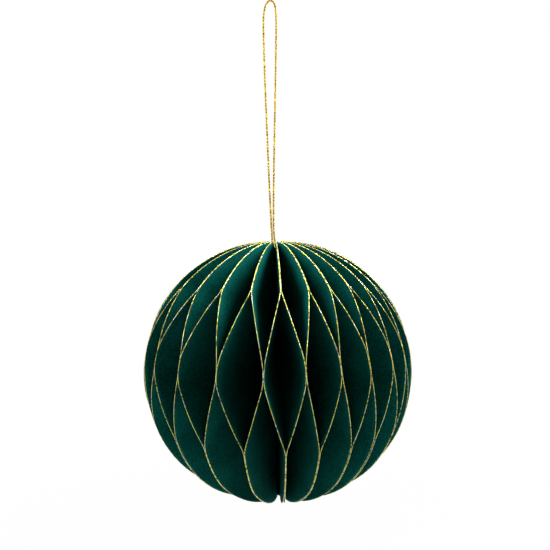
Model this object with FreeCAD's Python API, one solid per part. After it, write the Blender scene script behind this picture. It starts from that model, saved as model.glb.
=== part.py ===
import FreeCAD, Part
import math
import os
from FreeCAD import Vector

# A honeycomb paper ball ornament on a loop of metallic cord.
# Frame: +Z up, the front of the ball looks along -Y, and the origin is the inside of the loop's top,
# where a hook carries the ornament. Azimuths are degrees from -Y towards +X. All sizes in millimetres.

# Ball
BALL_WIDTH = 100.0
CELLS = 24              # seams that run down from the top pole, with two leaves to a seam
CARD = 0.2              # thickness of one leaf
CORNER = 3.5            # radius that rounds each leaf's two corners, beside the poles
RIM_CUTS = 36           # straight cuts that make a leaf's round rim, each within 0.05 mm of the true round
DROP = 134.0            # from the hook down to the middle of the ball

# Heights of the glued bands above the ball's widest level
TOP_FORK = 0.334 * BALL_WIDTH      # where the top seams part into two leaves
MIDDLE_TOP = 0.145 * BALL_WIDTH    # upper edge of the band that joins each leaf to its other neighbour
MIDDLE_FOOT = 0.072 * BALL_WIDTH   # lower edge of that band
LOW_FORK = -0.137 * BALL_WIDTH     # where the first pairs meet again, down to the bottom pole

# The ball is opened by hand, so its cells are wider on the left than on the right
FAN_START = -9.2
FAN_SHIFT = 11.5
FAN_PHASE = 3.0

# Hanging cord: route of its centre line, from the core of the ball, round the hook and back
CORD = 0.8
CORD_ROUTE = [
    (-1.68, 0.0, -97.0),
    (-0.78, 0.0, -88.5),
    (-1.76, 0.0, -84.5),
    (-2.85, 0.0, -9.0),
    (-2.15, 0.0, -1.6),
    (-0.66, 0.0, 0.4),
    (0.66, 0.0, 0.4),
    (1.75, 0.0, -1.5),
    (1.98, 0.0, -9.0),
    (-0.90, 0.0, -84.5),
    (0.08, 0.0, -88.5),
    (1.68, 0.0, -97.0),
]

UP = Vector(0, 0, 1)


def outward(azimuth):
    """Level unit vector from the spine towards the rim."""
    turn = math.radians(azimuth)
    return Vector(math.sin(turn), -math.cos(turn), 0)


def sideways(azimuth):
    """Level unit vector square to a leaf at this azimuth, towards growing azimuth."""
    turn = math.radians(azimuth)
    return Vector(math.cos(turn), math.sin(turn), 0)


def seam_azimuth(number):
    """Azimuth of a top seam; half numbers give the middle seams that lie between."""
    even = 360.0 * number / CELLS
    return FAN_START + even + FAN_SHIFT * math.cos(math.radians(even + FAN_PHASE))


narrowest = min(seam_azimuth(n + 1) - seam_azimuth(n) for n in range(CELLS))
# The leaves' straight edges ring an open core, just wide enough for all of them side by side
core = 1.1 * CARD / math.sin(math.radians(narrowest / 2))
leaf_radius = BALL_WIDTH / 2 - core


def meet(first, second, third):
    """Point common to three planes, each given as (normal, distance from the origin)."""
    (a, p), (b, q), (c, r) = first, second, third
    return (b.cross(c) * p + c.cross(a) * q + a.cross(b) * r) * (1 / a.dot(b.cross(c)))


def rim(height):
    """Distance of the ball's rim from its axis at this height."""
    return core + math.sqrt(leaf_radius ** 2 - height ** 2)


def turned_panel(seam, middle, band_edge, fork):
    """Plane of the panel that turns from the middle band, at band_edge, to the seam, at fork."""
    (seam_normal, seam_offset), (middle_normal, middle_offset) = seam, middle
    hinge = meet(seam, middle, (UP, band_edge))
    fork_point = seam_normal.cross(UP) * rim(fork) + seam_normal * seam_offset + UP * fork
    band_point = middle_normal.cross(UP) * rim(band_edge) + middle_normal * middle_offset + UP * band_edge
    normal = (fork_point - hinge).cross(band_point - hinge).normalize()
    if normal.dot(seam_normal) < 0:
        normal = normal * -1
    return normal, normal.dot(hinge)


def bent_card(seam_at, middle_at, mean):
    """Slab of card as thick as one leaf, bent on four creases, larger all round than the leaf."""
    side = 1 if middle_at > seam_at else -1
    seam = (sideways(seam_at), side * CARD / 2)
    middle = (sideways(middle_at), -side * CARD / 2)
    upper = turned_panel(seam, middle, MIDDLE_TOP, TOP_FORK)
    lower = turned_panel(seam, middle, MIDDLE_FOOT, LOW_FORK)
    panels = [seam, upper, middle, lower, seam]
    inner_end = (outward(mean), 0.95 * core)
    outer_end = (outward(mean), 0.56 * BALL_WIDTH)
    top = (UP, 0.6 * BALL_WIDTH)
    foot = (UP, -0.6 * BALL_WIDTH)

    def corners(face, end):
        planes = [top] + [(normal, offset + face * CARD / 2) for normal, offset in panels] + [foot]
        return [meet(planes[i], planes[i + 1], end) for i in range(len(planes) - 1)]

    inner = {face: corners(face, inner_end) for face in (-1, 1)}
    outer = {face: corners(face, outer_end) for face in (-1, 1)}
    outlines = [inner[-1] + inner[1][::-1], outer[-1] + outer[1][::-1]]
    outlines += [[inner[-1][i], inner[1][i], outer[1][i], outer[-1][i]] for i in (0, -1)]
    for face in (-1, 1):
        for i in range(len(panels)):
            outlines.append([inner[face][i], inner[face][i + 1], outer[face][i + 1], outer[face][i]])
    faces = [Part.Face(Part.makePolygon(points + points[:1])) for points in outlines]
    return Part.makeSolid(Part.makeShell(faces))


def half_disc(mean):
    """Upright half disc with rounded corners, drawn on the leaf's mean azimuth and made very thick."""
    corner_rise = math.sqrt((leaf_radius - CORNER) ** 2 - CORNER ** 2)
    corner_turn = math.atan2(corner_rise, CORNER)
    corner_cuts = max(2, round(RIM_CUTS / 12))

    def round_cut(distance, height, radius, start, stop, cuts):
        turns = [start + (stop - start) * i / cuts for i in range(cuts + 1)]
        return [outward(mean) * (distance + radius * math.cos(turn)) + UP * (height + radius * math.sin(turn))
                for turn in turns]

    outline = round_cut(core + CORNER, corner_rise, CORNER, math.pi, corner_turn, corner_cuts)[:-1]
    outline += round_cut(core, 0, leaf_radius, corner_turn, -corner_turn, RIM_CUTS)
    outline += round_cut(core + CORNER, -corner_rise, CORNER, -corner_turn, -math.pi, corner_cuts)[1:]
    reach = 0.2 * BALL_WIDTH
    face = Part.Face(Part.makePolygon(outline + outline[:1]))
    face.translate(sideways(mean) * -reach)
    return face.extrude(sideways(mean) * 2 * reach)


def leaf(seam_at, middle_at):
    """One leaf: a half disc of card, bent so that its ends lie on one seam and its middle on the next."""
    mean = (seam_at + middle_at) / 2
    shape = half_disc(mean).common(bent_card(seam_at, middle_at, mean))
    solid = shape.Solids[0]
    solid.translate(UP * -DROP)
    return solid


def cord():
    """Plain tube along the cord's route: straight runs joined by arcs as large as the runs allow."""
    points = [Vector(*point) for point in CORD_ROUTE]
    edges = []
    start = points[0]
    for before, corner, after in zip(points, points[1:], points[2:]):
        back = (before - corner).normalize()
        ahead = (after - corner).normalize()
        half_turn = (math.pi - back.getAngle(ahead)) / 2
        shorter = min(before.distanceToPoint(corner), after.distanceToPoint(corner))
        radius = 0.45 * shorter / math.tan(half_turn)
        entry = corner + back * (0.45 * shorter)
        leave = corner + ahead * (0.45 * shorter)
        inward = (back + ahead).normalize()
        summit = corner + inward * (radius / math.cos(half_turn) - radius)
        edges.append(Part.LineSegment(start, entry).toShape())
        edges.append(Part.Arc(entry, summit, leave).toShape())
        start = leave
        print("cord bend radius", round(radius, 2), "mm, turn", round(math.degrees(2 * half_turn), 1))
    edges.append(Part.LineSegment(start, points[-1]).toShape())
    path = Part.Wire(edges)
    section = Part.Wire(Part.makeCircle(CORD / 2, points[0], points[1] - points[0]))
    tube = path.makePipeShell([section], True, False)
    expected = math.pi * CORD ** 2 / 4 * path.Length
    print("cord length", round(path.Length, 1), "mm, volume", round(tube.Volume, 2), "of", round(expected, 2))
    return tube


os.makedirs("parts", exist_ok=True)
count = 0
for cell in range(CELLS):
    for middle_at in (seam_azimuth(cell - 0.5), seam_azimuth(cell + 0.5)):
        count += 1
        leaf(seam_azimuth(cell), middle_at).exportStep("parts/leaf_%02d.step" % count)
cord().exportStep("parts/hang_cord.step")
print("core radius", round(core, 2), "mm, leaf radius", round(leaf_radius, 2), "mm, leaves", count)
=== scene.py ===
import math
import random

import bmesh
import bpy
from mathutils import Matrix, Vector


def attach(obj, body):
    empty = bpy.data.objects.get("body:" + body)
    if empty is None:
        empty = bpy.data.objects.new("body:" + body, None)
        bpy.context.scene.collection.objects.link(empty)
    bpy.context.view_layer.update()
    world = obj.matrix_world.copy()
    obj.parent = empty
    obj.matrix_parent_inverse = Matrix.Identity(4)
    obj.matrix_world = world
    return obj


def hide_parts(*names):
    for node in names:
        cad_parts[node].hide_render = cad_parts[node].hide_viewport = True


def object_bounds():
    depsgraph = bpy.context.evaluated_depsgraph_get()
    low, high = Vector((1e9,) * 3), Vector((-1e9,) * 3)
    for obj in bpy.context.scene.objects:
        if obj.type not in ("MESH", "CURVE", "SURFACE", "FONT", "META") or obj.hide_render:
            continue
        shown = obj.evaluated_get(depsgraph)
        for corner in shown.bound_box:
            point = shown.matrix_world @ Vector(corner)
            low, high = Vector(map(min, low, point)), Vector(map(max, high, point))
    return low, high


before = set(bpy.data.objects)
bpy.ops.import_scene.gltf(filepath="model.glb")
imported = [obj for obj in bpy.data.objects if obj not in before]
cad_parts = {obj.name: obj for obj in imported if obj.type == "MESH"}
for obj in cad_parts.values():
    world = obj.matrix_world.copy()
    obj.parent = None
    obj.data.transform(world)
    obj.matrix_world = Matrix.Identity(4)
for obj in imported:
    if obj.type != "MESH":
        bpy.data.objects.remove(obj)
cad_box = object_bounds()

# Camera
# Close to the ball and a little above it, turned upwards so that the whole loop of cord is in view.
# The origin is the hook that carries the loop, and the ball's middle hangs below it.
MM = 0.001
ball_middle = Vector((0, 0, -134.0)) * MM
camera_at = ball_middle + Vector((0, -202.9, 56.0)) * MM
camera_aim = ball_middle + Vector((-0.4, 0, 35.2)) * MM
camera_roll = math.radians(0.95)
camera = bpy.data.objects.new("camera", bpy.data.cameras.new("camera"))
camera.data.sensor_width = 36
camera.data.lens = 35.3
camera.data.clip_start = 0.01
look = (camera_aim - camera_at).to_track_quat("-Z", "Y").to_matrix().to_4x4()
camera.matrix_world = Matrix.Translation(camera_at) @ look @ Matrix.Rotation(-camera_roll, 4, "Z")
bpy.context.scene.collection.objects.link(camera)
bpy.context.scene.camera = camera

# Hanging cord
# A thin three-ply twisted cord, gold film wound on pale thread, glued into the ball's core at both
# ends. It goes up over the hook as a narrow loop, which the ball's weight pulls straight.
cord_width = 0.8 * MM
cord_route = [
    (-1.68, 0.0, -97.0),
    (-0.98, 0.0, -88.5),
    (-1.66, 0.0, -78.0),
    (-3.35, 0.0, -9.0),
    (-2.60, 0.0, -1.6),
    (-1.11, 0.0, 0.4),
    (0.31, 0.0, 0.4),
    (1.46, 0.0, -1.5),
    (1.66, 0.0, -9.0),
    (-0.86, 0.0, -78.0),
    (-0.12, 0.0, -88.5),
    (1.68, 0.0, -97.0),
]
ply_count = 3
ply_twist = 2.6 * MM
ply_radius = 0.3 * cord_width
ply_sides = 8
ply_step = 0.2 * MM
# How many steps along a ply a turn of film covers, and how many steps of thinner thread follow it
film_steps = (3, 4, 4)
bare_steps = 2
bare_radius = 0.2 * cord_width


def linear(hex_colour):
    """Shader colour of an sRGB hex value."""
    parts = [int(hex_colour[i:i + 2], 16) / 255 for i in (1, 3, 5)]
    return [p / 12.92 if p <= 0.04045 else ((p + 0.055) / 1.055) ** 2.4 for p in parts] + [1]


def add_node(owner, kind, feeds=None, stops=(), **settings):
    """Adds a node. Feeds are sockets or constants for its inputs, settings are its properties or named
    inputs, and stops are a ramp's colours."""
    node = owner.node_tree.nodes.new(kind)
    for name, value in settings.items():
        if hasattr(node, name):
            setattr(node, name, value)
        else:
            node.inputs[name.replace("_", " ")].default_value = value
    for name, source in (feeds or {}).items():
        if isinstance(source, bpy.types.NodeSocket):
            owner.node_tree.links.new(source, node.inputs[name])
        else:
            node.inputs[name].default_value = source
    for i, (position, hex_colour) in enumerate(stops):
        element = node.color_ramp.elements[i] if i < 2 else node.color_ramp.elements.new(1)
        element.position = position
        element.color = linear(hex_colour)
    return node


def new_material(name, **settings):
    """New material with these settings on its shader, that shader, and its object coordinates."""
    material = bpy.data.materials.new(name)
    material.use_nodes = True
    shader = material.node_tree.nodes["Principled BSDF"]
    for setting, value in settings.items():
        shader.inputs[setting.replace("_", " ")].default_value = value
    spot = add_node(material, "ShaderNodeTexCoord").outputs["Object"]
    return material, shader, spot


def place(name, mesh, materials):
    """New object for a mesh, which rides with the ornament."""
    piece = bpy.data.objects.new(name, mesh)
    for material in materials:
        mesh.materials.append(material)
    bpy.context.scene.collection.objects.link(piece)
    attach(piece, "root")
    return piece


# The film is polyester coated with metal, slit to a narrow ribbon and wound round the thread. Its flat
# facets catching the light one by one is painted: each facet gets a gold from dark brown to pale yellow,
# as painted glints and painted shade, over a faint bump of ribbing. They are drawn about twice as long
# as they are, so that they show.
film, shader, spot = new_material("wound_metallised_film", Metallic=1.0, Roughness=0.34)
facet = add_node(film, "ShaderNodeTexVoronoi", {"Vector": spot}, Scale=1 / (0.6 * MM))
# Painted glints and shade: each facet's level picks a brighter or darker gold
facet_glint = add_node(film, "ShaderNodeSeparateColor", {"Color": facet.outputs["Color"]})
tint = add_node(film, "ShaderNodeValToRGB", {"Fac": facet_glint.outputs["Red"]},
                stops=[(0.05, "#985000"), (0.2, "#A88C00"), (0.6, "#C4A600"), (0.8, "#D6B800"),
                       (0.95, "#FFEC40")])
film.node_tree.links.new(tint.outputs["Color"], shader.inputs["Base Color"])
ribbing = add_node(film, "ShaderNodeTexNoise", {"Vector": spot}, Scale=1 / (0.12 * MM), Detail=2.0)
relief = add_node(film, "ShaderNodeBump", {"Height": ribbing.outputs["Fac"]},
                  Strength=0.5, Distance=0.05 * MM)
film.node_tree.links.new(relief.outputs["Normal"], shader.inputs["Normal"])

# The thread is spun polyester: cream, matt, faintly streaked by its fibres, and thin enough to let
# light through.
core_thread, shader, spot = new_material("spun_polyester_thread", Roughness=0.8,
                                         Transmission_Weight=0.9)
hairs = add_node(core_thread, "ShaderNodeTexNoise", {"Vector": spot}, Scale=1 / (0.25 * MM), Detail=3.0)
tint = add_node(core_thread, "ShaderNodeValToRGB", {"Fac": hairs.outputs["Fac"]},
                stops=[(0.35, "#FFD888"), (0.65, "#FFF0B8")])
core_thread.node_tree.links.new(tint.outputs["Color"], shader.inputs["Base Color"])

route_curve = bpy.data.curves.new("cord_route", "CURVE")
route_curve.dimensions = "3D"
route_curve.resolution_u = 64
spline = route_curve.splines.new("NURBS")
spline.points.add(len(cord_route) - 1)
for point, at in zip(spline.points, cord_route):
    point.co = [value * MM for value in at] + [1]
spline.order_u = 3
spline.use_endpoint_u = True
route_object = bpy.data.objects.new("cord_route", route_curve)
route_mesh = bpy.data.meshes.new_from_object(route_object)
route_line = [vertex.co.copy() for vertex in route_mesh.vertices]
bpy.data.objects.remove(route_object)

# Points one ply step apart along the route
cord_line = [route_line[0]]
to_next = ply_step
for start, end in zip(route_line, route_line[1:]):
    length = (end - start).length
    done = 0
    while length - done >= to_next:
        done += to_next
        to_next = ply_step
        cord_line.append(start.lerp(end, done / length))
    to_next -= length - done

# 1 where the thread is bare, 0 where film covers it
winding = random.Random(3)
bare = []
while len(bare) < len(cord_line):
    bare += [0] * winding.choice(film_steps) + [1] * bare_steps

mesh = bmesh.new()
for ply in range(ply_count):
    rings = []
    square = Vector((0, 1, 0))
    for i, point in enumerate(cord_line):
        along = (cord_line[min(i + 1, len(cord_line) - 1)] - cord_line[max(i - 1, 0)]).normalized()
        square = (square - along * square.dot(along)).normalized()
        across = along.cross(square)
        turn = math.tau * (i * ply_step / ply_twist + ply / ply_count)
        out = square * math.cos(turn) + across * math.sin(turn)
        beside = along.cross(out)
        centre = point + out * (cord_width / 2 - ply_radius)
        radius = bare_radius if bare[i] else ply_radius
        turns = [math.tau * k / ply_sides for k in range(ply_sides)]
        ring = [centre + (out * math.cos(a) + beside * math.sin(a)) * radius for a in turns]
        rings.append([mesh.verts.new(at) for at in ring])
    for i in range(len(rings) - 1):
        near, far = rings[i], rings[i + 1]
        for k in range(ply_sides):
            quad = mesh.faces.new((near[k], far[k], far[k - 1], near[k - 1]))
            quad.material_index = bare[i]
            quad.smooth = True
    mesh.faces.new(rings[0])
    mesh.faces.new(rings[-1][::-1])
bmesh.ops.recalc_face_normals(mesh, faces=mesh.faces)
cord_mesh = bpy.data.meshes.new("twisted_cord")
mesh.to_mesh(cord_mesh)
twisted_cord = place("twisted_cord", cord_mesh, [film, core_thread])
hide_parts("hang_cord")

# Leaves
# Half discs of dyed card, two to a seam, glued in a band to one neighbour near the middle and to the
# other towards the poles, so that they bend into cells as the ball is opened. Their rims are glittered.
ball_width = 100.0 * MM
cells = 24
card = 0.2 * MM
top_corner = 3.5 * MM
foot_corner = 0.8 * MM

# Heights at which the leaves of a seam part and meet, and between them the edges of the middle band
top_fork = 0.334 * ball_width
middle_top = 0.145 * ball_width
middle_foot = 0.072 * ball_width
low_fork = -0.137 * ball_width

# Degrees: the ball is opened by hand, so its cells are wider on the left than on the right
fan_start = -9.2
fan_shift = 11.5
fan_phase = 3.0


def outward(azimuth):
    """Level direction from the spine to the rim, azimuth in degrees from the front."""
    turn = math.radians(azimuth)
    return Vector((math.sin(turn), -math.cos(turn), 0))


def sideways(azimuth):
    """Level direction square to a leaf at this azimuth."""
    turn = math.radians(azimuth)
    return Vector((math.cos(turn), math.sin(turn), 0))


def seam_azimuth(number):
    """Azimuth of a top seam; half numbers give the middle seams."""
    even = 360.0 * number / cells
    return fan_start + even + fan_shift * math.cos(math.radians(even + fan_phase))


hand = random.Random(7)


def set_by_hand(spread, first, values):
    """One small error for each seam round the ball, at random but for those that the front shows."""
    errors = [hand.uniform(-spread, spread) for n in range(cells)]
    for i, value in enumerate(values):
        errors[(first + i) % cells] = value
    return errors


# Degrees and millimetres by which glue and hand put each seam off the even fan. A middle band counts
# with the seam on its left.
top_lean = set_by_hand(0.5, -3, (0.5, 0.2, 0.3, 0.0, -0.3, -2.0, -2.1, -2.0, -1.4, -0.7))
middle_lean = set_by_hand(0.5, -4, (-1.4, -1.9, -1.2, 0.3, 0.3, -0.6, -1.2, -0.6, -0.9, -0.5))
low_lean = set_by_hand(0.5, -3, (1.6, 0.2, 0.3, 0.2, -1.8, -2.4, -3.9, -1.8, -1.2, -0.6))
fork_rise = set_by_hand(0.4, -3, (-0.1, 0.3, 0.2, 0.0, 0.1, 0.0, 0.5))
low_rise = set_by_hand(0.4, -3, (0.0, 0.0, 0.3, 0.3, 0.0, -0.1, -0.1))
band_top_rise = set_by_hand(0.5, -3, (-0.5, -1.3, -1.5, -0.4, 0.6, 0.7))
band_foot_rise = set_by_hand(0.4, -3, (-0.3, -0.1, 0.4, 0.7, 0.6, -0.7))

# How far each leaf of a pair leans away from the other at the bottom pole, where no glue holds them, as
# a share of the way to the middle band. Near the front both leaves of a pair lean the same way, towards
# the front seam, so one of the two has less than nothing.
foot_left = [hand.uniform(0.1, 0.5) for n in range(cells)]
foot_right = [hand.uniform(0.1, 0.5) for n in range(cells)]
for seam, left_foot, right_foot in ((-3, -0.4, 0.5), (-2, -1.8, 2.0), (-1, -1.1, 1.25), (0, 0.2, 0.3),
                                    (1, 1.9, -0.9), (2, 2.2, -1.9), (3, 1.0, -0.8)):
    foot_left[seam], foot_right[seam] = left_foot, right_foot

# The leaves' straight edges ring an open core, just wide enough for all of them side by side
narrowest = min(seam_azimuth(n + 1) - seam_azimuth(n) for n in range(cells))
core = 1.1 * card / math.sin(math.radians(narrowest / 2))
leaf_radius = ball_width / 2 - core


def round_corner(radius):
    """Height of a rounded corner's centre, its angle up from level at the rim, and its length."""
    rise = math.sqrt((leaf_radius - radius) ** 2 - radius ** 2)
    turn = math.atan2(rise, radius)
    return rise, turn, radius * (math.pi - turn)


top_rise, top_turn, top_length = round_corner(top_corner)
foot_rise, foot_turn, foot_length = round_corner(foot_corner)
rim_length = leaf_radius * (top_turn + foot_turn)


def outline_at(share):
    """Distance from the axis and height of a leaf's rim, from the top corner, 0, to the foot, 1."""
    run = share * (top_length + rim_length + foot_length)
    if run < top_length:
        turn = math.pi - run / top_corner
        return core + top_corner * (1 + math.cos(turn)), top_rise + top_corner * math.sin(turn)
    if run > top_length + rim_length:
        turn = -foot_turn - (run - top_length - rim_length) / foot_corner
        return core + foot_corner * (1 + math.cos(turn)), -foot_rise + foot_corner * math.sin(turn)
    turn = top_turn - (run - top_length) / leaf_radius
    return core + leaf_radius * math.cos(turn), leaf_radius * math.sin(turn)


# The leaves part and lift more and more from this share of the way down to the bottom pole, and the
# cell left of the front seam is pressed shut there
foot_start = 0.6
foot_lift = 0.8 * MM
foot_reach = 8 * MM
foot_press = 12 * MM
pressed_band = cells - 1

# A crease is soft over this share of the turning panel, on each side of it
soft_bend = 0.11

# Glue fills the sharp corner between neighbours beside the spine. Beside the middle band it stops a
# little short, clear of the leaves that are glued there.
glue_width = 1.0 * MM
glue_gap = 0.01 * MM
band_share = 0.93


def near_foot(height):
    """Grows from 0, where the foot starts, to 1 at the bottom pole."""
    return max(0, -height / leaf_radius - foot_start) / (1 - foot_start)


def ramp(value):
    """0 below zero and the value itself above it, with a soft bend between."""
    if value < -soft_bend:
        return 0
    return (value + soft_bend) ** 2 / (4 * soft_bend) if value < soft_bend else value


class Leaf:
    """Half disc that turns from its seam to the middle band on one side of it and back to the seam."""

    def __init__(self, seam, side):
        band = (seam if side > 0 else seam - 1) % cells
        self.side = side
        self.seam_at = seam_azimuth(seam)
        self.middle_at = seam_azimuth(seam + side * 0.5)
        self.mean = (self.seam_at + self.middle_at) / 2
        self.half = math.radians(abs(self.middle_at - self.seam_at)) / 2
        self.leans = (top_lean[seam], middle_lean[band], low_lean[seam])
        self.upper = (middle_top + band_top_rise[band] * MM, top_fork + fork_rise[seam] * MM)
        self.lower = (middle_foot + band_foot_rise[band] * MM, low_fork + low_rise[seam] * MM)
        self.foot = (foot_right if side > 0 else foot_left)[seam]
        self.pressed = foot_press if band == pressed_band else 0
        self.seed = seam * 2 + side

    def across(self, distance, height):
        """How far the card's middle surface stands off the leaf's mean plane."""
        hinge = card / 2 / math.sin(self.half)
        upper = height > (self.upper[0] + self.lower[0]) / 2
        band, fork = self.upper if upper else self.lower
        rim = core + math.sqrt(leaf_radius ** 2 - fork ** 2)
        crease = band + (fork - band) * (distance - hinge) / (rim - hinge)
        share = (crease - height) / (crease - band)
        share = ramp(share) - ramp(share - 1)
        share += self.foot * near_foot(height) ** 2
        seam_turn = math.radians(self.seam_at + self.leans[0 if upper else 2] - self.mean)
        middle_turn = math.radians(self.middle_at + self.leans[1] - self.mean)
        at_seam = distance * math.tan(seam_turn) + self.side * card / 2
        at_middle = distance * math.tan(middle_turn) - self.side * card / 2
        return at_seam + (at_middle - at_seam) * share

    def point(self, distance, height, face=0):
        """Place on the card: face 0 is its middle surface, -1 and 1 its two sides."""
        across = self.across(distance, height) + face * card / 2
        reach = glue_width + (self.pressed * near_foot(height) ** 6 if face == self.side else 0)
        glue = min(1, max(0, (reach - distance + core) / glue_width)) ** 2
        held = face * (distance * math.tan(self.half) - glue_gap)
        if middle_foot < height < middle_top:
            held *= band_share
        if face and (held - across) * face > 0:
            across += (held - across) * glue
        height += foot_lift * near_foot(height) ** 2 * min(1, distance / foot_reach)
        level = ball_middle + outward(self.mean) * distance + sideways(self.mean) * across
        return level + Vector((0, 0, height))


# Through-dyed uncoated card is matt, so it has hardly a gloss, and its felted fibres mottle it under
# wide faint clouds of dye. The fibre clumps are drawn about twice as coarse as they are.
green_card, shader, spot = new_material("dyed_uncoated_card", Roughness=0.85, Specular_IOR_Level=0.04)
clouds = add_node(green_card, "ShaderNodeTexNoise", {"Vector": spot}, Scale=1 / (8 * MM), Detail=3.0)
fibres = add_node(green_card, "ShaderNodeTexNoise", {"Vector": spot},
                  Scale=1 / (0.6 * MM), Detail=4.0, Roughness=0.7)
mottle = add_node(green_card, "ShaderNodeMath",
                  {0: clouds.outputs["Fac"], 1: 0.25, 2: fibres.outputs["Fac"]}, operation="MULTIPLY_ADD")
tint = add_node(green_card, "ShaderNodeValToRGB", {"Fac": mottle.outputs[0]},
                stops=[(0.46, "#04443E"), (0.79, "#067A70")])
green_card.node_tree.links.new(tint.outputs["Color"], shader.inputs["Base Color"])
relief = add_node(green_card, "ShaderNodeBump", {"Height": fibres.outputs["Fac"]},
                  Strength=0.3, Distance=0.06 * MM)
green_card.node_tree.links.new(relief.outputs["Normal"], shader.inputs["Normal"])

# Fine metallised glitter dusted on glue: flat flakes that lie at all angles, so that they sparkle
# in pale gold, cream and a little orange. Part of the sparkle is painted: dark olive flakes are painted
# shade for flakes turned from the light, and white flakes are painted glints. The flakes are drawn at
# twice their real size.
glitter, shader, spot = new_material("gold_glitter_on_glue", Metallic=0.8, Roughness=0.3)
flake = add_node(glitter, "ShaderNodeTexVoronoi", {"Vector": spot}, Scale=1 / (0.44 * MM))
flake_tone_and_sparkle = add_node(glitter, "ShaderNodeSeparateColor", {"Color": flake.outputs["Color"]})
# Painted sparkle: the dark olive stop is painted shade and the white stop a painted glint
tint = add_node(glitter, "ShaderNodeValToRGB", {"Fac": flake_tone_and_sparkle.outputs["Red"]},
                stops=[(0.15, "#6E6A2C"), (0.25, "#FFBC60"), (0.32, "#FFF85C"), (0.75, "#FFFF78"),
                       (0.88, "#FFFFFF")])
glitter.node_tree.links.new(tint.outputs["Color"], shader.inputs["Base Color"])
tilt = add_node(glitter, "ShaderNodeVectorMath", {0: flake.outputs["Color"], 1: (0.5, 0.5, 0.5)},
                operation="SUBTRACT")
lie = add_node(glitter, "ShaderNodeNewGeometry").outputs["Normal"]
facing = add_node(glitter, "ShaderNodeVectorMath", {0: tilt.outputs[0], 1: (0.7, 0.7, 0.7), 2: lie},
                  operation="MULTIPLY_ADD")
flat = add_node(glitter, "ShaderNodeVectorMath", {0: facing.outputs[0]}, operation="NORMALIZE")
glitter.node_tree.links.new(flat.outputs[0], shader.inputs["Normal"])

# Each face is a net of rows down the leaf, with columns closest together at the spine and the rim. Its
# inner edge starts and ends a little short of the rounded corners' centres.
leaf_rows = 120
leaf_columns = [0.0, 0.007, 0.014, 0.021, 0.05, 0.1, 0.18, 0.27, 0.36, 0.45, 0.54, 0.63, 0.72, 0.8,
                0.87, 0.93, 0.97, 1.0]
spine_top = top_rise - 1.0 * MM
spine_foot = -foot_rise + 0.3 * MM

# The glitter's lumpy coat starts and stops just inside the rim's ends, and is thinner there. Its margin,
# taper and step ahead are shares of the rim's length.
coat_width = 0.085 * MM
coat_height = 0.08 * MM
coat_steps = 380
coat_sides = 7
coat_margin = 0.012
coat_taper = 0.06
coat_end_size = 0.35
coat_lump = (0.82, 1.15)
coat_ahead = 0.003


def leaf_mesh(leaf):
    """Both faces of the card, its cut edges, and the coat of glitter along its rim."""
    mesh = bmesh.new()
    grids = {-1: [], 1: []}
    for face, grid in grids.items():
        for row in range(leaf_rows + 1):
            distance, height = outline_at(row / leaf_rows)
            inner = spine_top + (spine_foot - spine_top) * row / leaf_rows
            net = [(core + (distance - core) * c, inner + (height - inner) * c) for c in leaf_columns]
            grid.append([mesh.verts.new(leaf.point(*at, face)) for at in net])
    last = len(leaf_columns) - 1
    for row in range(leaf_rows):
        for face, grid in grids.items():
            above, below = grid[row], grid[row + 1]
            for column in range(last):
                quad = (above[column], above[column + 1], below[column + 1], below[column])
                mesh.faces.new(quad[::-face]).smooth = True
        back, front = grids[-1], grids[1]
        for column in (0, last):
            quad = (back[row][column], front[row][column],
                    front[row + 1][column], back[row + 1][column])
            mesh.faces.new(quad if column else quad[::-1])
    grain = random.Random(leaf.seed)
    previous = None
    for step in range(coat_steps + 1):
        share = coat_margin + (1 - 2 * coat_margin) * step / coat_steps
        at = leaf.point(*outline_at(share))
        along = (leaf.point(*outline_at(share + coat_ahead)) - at).normalized()
        across = sideways(leaf.mean)
        out = along.cross(across).normalized()
        across = out.cross(along)
        size = min(1, coat_end_size + min(share, 1 - share) / coat_taper)
        ring = []
        for k in range(coat_sides):
            angle = math.tau * k / coat_sides
            lump = size * grain.uniform(*coat_lump)
            offset = across * math.cos(angle) * coat_width + out * math.sin(angle) * coat_height
            ring.append(mesh.verts.new(at + offset * lump))
        if previous:
            for k in range(coat_sides):
                quad = mesh.faces.new((previous[k - 1], previous[k], ring[k], ring[k - 1]))
                quad.material_index = 1
                quad.smooth = True
        previous = ring
    bmesh.ops.recalc_face_normals(mesh, faces=mesh.faces)
    made = bpy.data.meshes.new("card_leaf")
    mesh.to_mesh(made)
    return made


count = 0
for seam in range(cells):
    for side in (-1, 1):
        count += 1
        piece = place("card_leaf_%02d" % count, leaf_mesh(Leaf(seam, side)), [green_card, glitter])
        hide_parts("leaf_%02d" % count)

# Floor and backdrop
# A plain pale studio floor well below the hanging ball, before a white backdrop that is only seen, and
# two soft lamps above, to the left and to the right, which light the ball.
floor_reach = 3.0
floor_drop = 0.3
floor_height = cad_box[0][2] - floor_drop
floor_corners = [(x * floor_reach, y * floor_reach, floor_height)
                 for x, y in ((-1, -1), (1, -1), (1, 1), (-1, 1))]
floor_mesh = bpy.data.meshes.new("floor")
floor_mesh.from_pydata(floor_corners, [], [(0, 1, 2, 3)])
floor = bpy.data.objects.new("floor", floor_mesh)
bpy.context.scene.collection.objects.link(floor)


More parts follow.
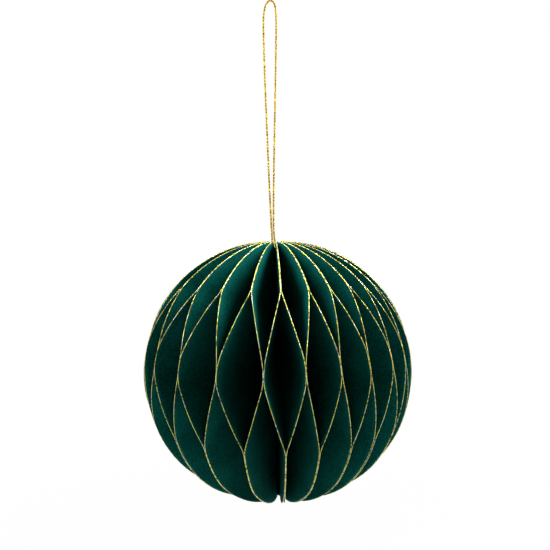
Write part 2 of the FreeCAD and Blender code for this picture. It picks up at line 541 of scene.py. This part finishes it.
def seen(owner):
    """1 for rays that come from the camera, straight, mirrored or through the cord, and 0 for others."""
    rays = add_node(owner, "ShaderNodeLightPath")
    bounced = add_node(owner, "ShaderNodeMath",
                       {0: rays.outputs["Is Glossy Ray"], 1: rays.outputs["Is Transmission Ray"]},
                       operation="MAXIMUM")
    return add_node(owner, "ShaderNodeMath", {0: rays.outputs["Is Camera Ray"], 1: bounced.outputs[0]},
                    operation="MAXIMUM").outputs[0]


# Painted board, pale and matt. Where it is seen it turns to the backdrop's white with distance from
# below the ball, and near the ball it keeps a part of its own shade, and the ball's shadow with it.
painted, shader, spot = new_material("painted_studio_floor", Base_Color=linear("#DADAD8"), Roughness=0.7)
away = add_node(painted, "ShaderNodeVectorMath", {0: spot}, operation="LENGTH")
whiteness = add_node(painted, "ShaderNodeMapRange", {"Value": away.outputs["Value"]},
                     From_Min=0.45, From_Max=0.9, To_Min=0.85, To_Max=1.0)
part_white = add_node(painted, "ShaderNodeMath", {0: seen(painted), 1: whiteness.outputs[0]},
                      operation="MULTIPLY")
white = add_node(painted, "ShaderNodeEmission", Color=(1, 1, 1, 1))
mixed = add_node(painted, "ShaderNodeMixShader",
                 {0: part_white.outputs[0], 1: shader.outputs[0], 2: white.outputs[0]})
surface = painted.node_tree.nodes["Material Output"].inputs["Surface"]
painted.node_tree.links.new(mixed.outputs[0], surface)
floor_mesh.materials.append(painted)

world = bpy.data.worlds.new("white_backdrop")
bpy.context.scene.world = world
world.use_nodes = True
backdrop = world.node_tree.nodes["Background"]
backdrop.inputs["Color"].default_value = (1, 1, 1, 1)
world.node_tree.links.new(seen(world), backdrop.inputs["Strength"])

lamp_size = 0.7


def soft_lamp(name, at, power):
    """Square lamp aimed at the ball's middle."""
    lamp = bpy.data.lights.new(name, "AREA")
    lamp.size = lamp_size
    lamp.energy = power
    holder = bpy.data.objects.new(name, lamp)
    holder.location = ball_middle + Vector(at)
    holder.rotation_euler = (-Vector(at)).to_track_quat("-Z", "Y").to_euler()
    bpy.context.scene.collection.objects.link(holder)


soft_lamp("left_lamp", (-0.85, 0.2, 0.85), 16)
soft_lamp("right_lamp", (0.85, 0.2, 0.85), 23)

bpy.context.scene.view_settings.view_transform = "Standard"
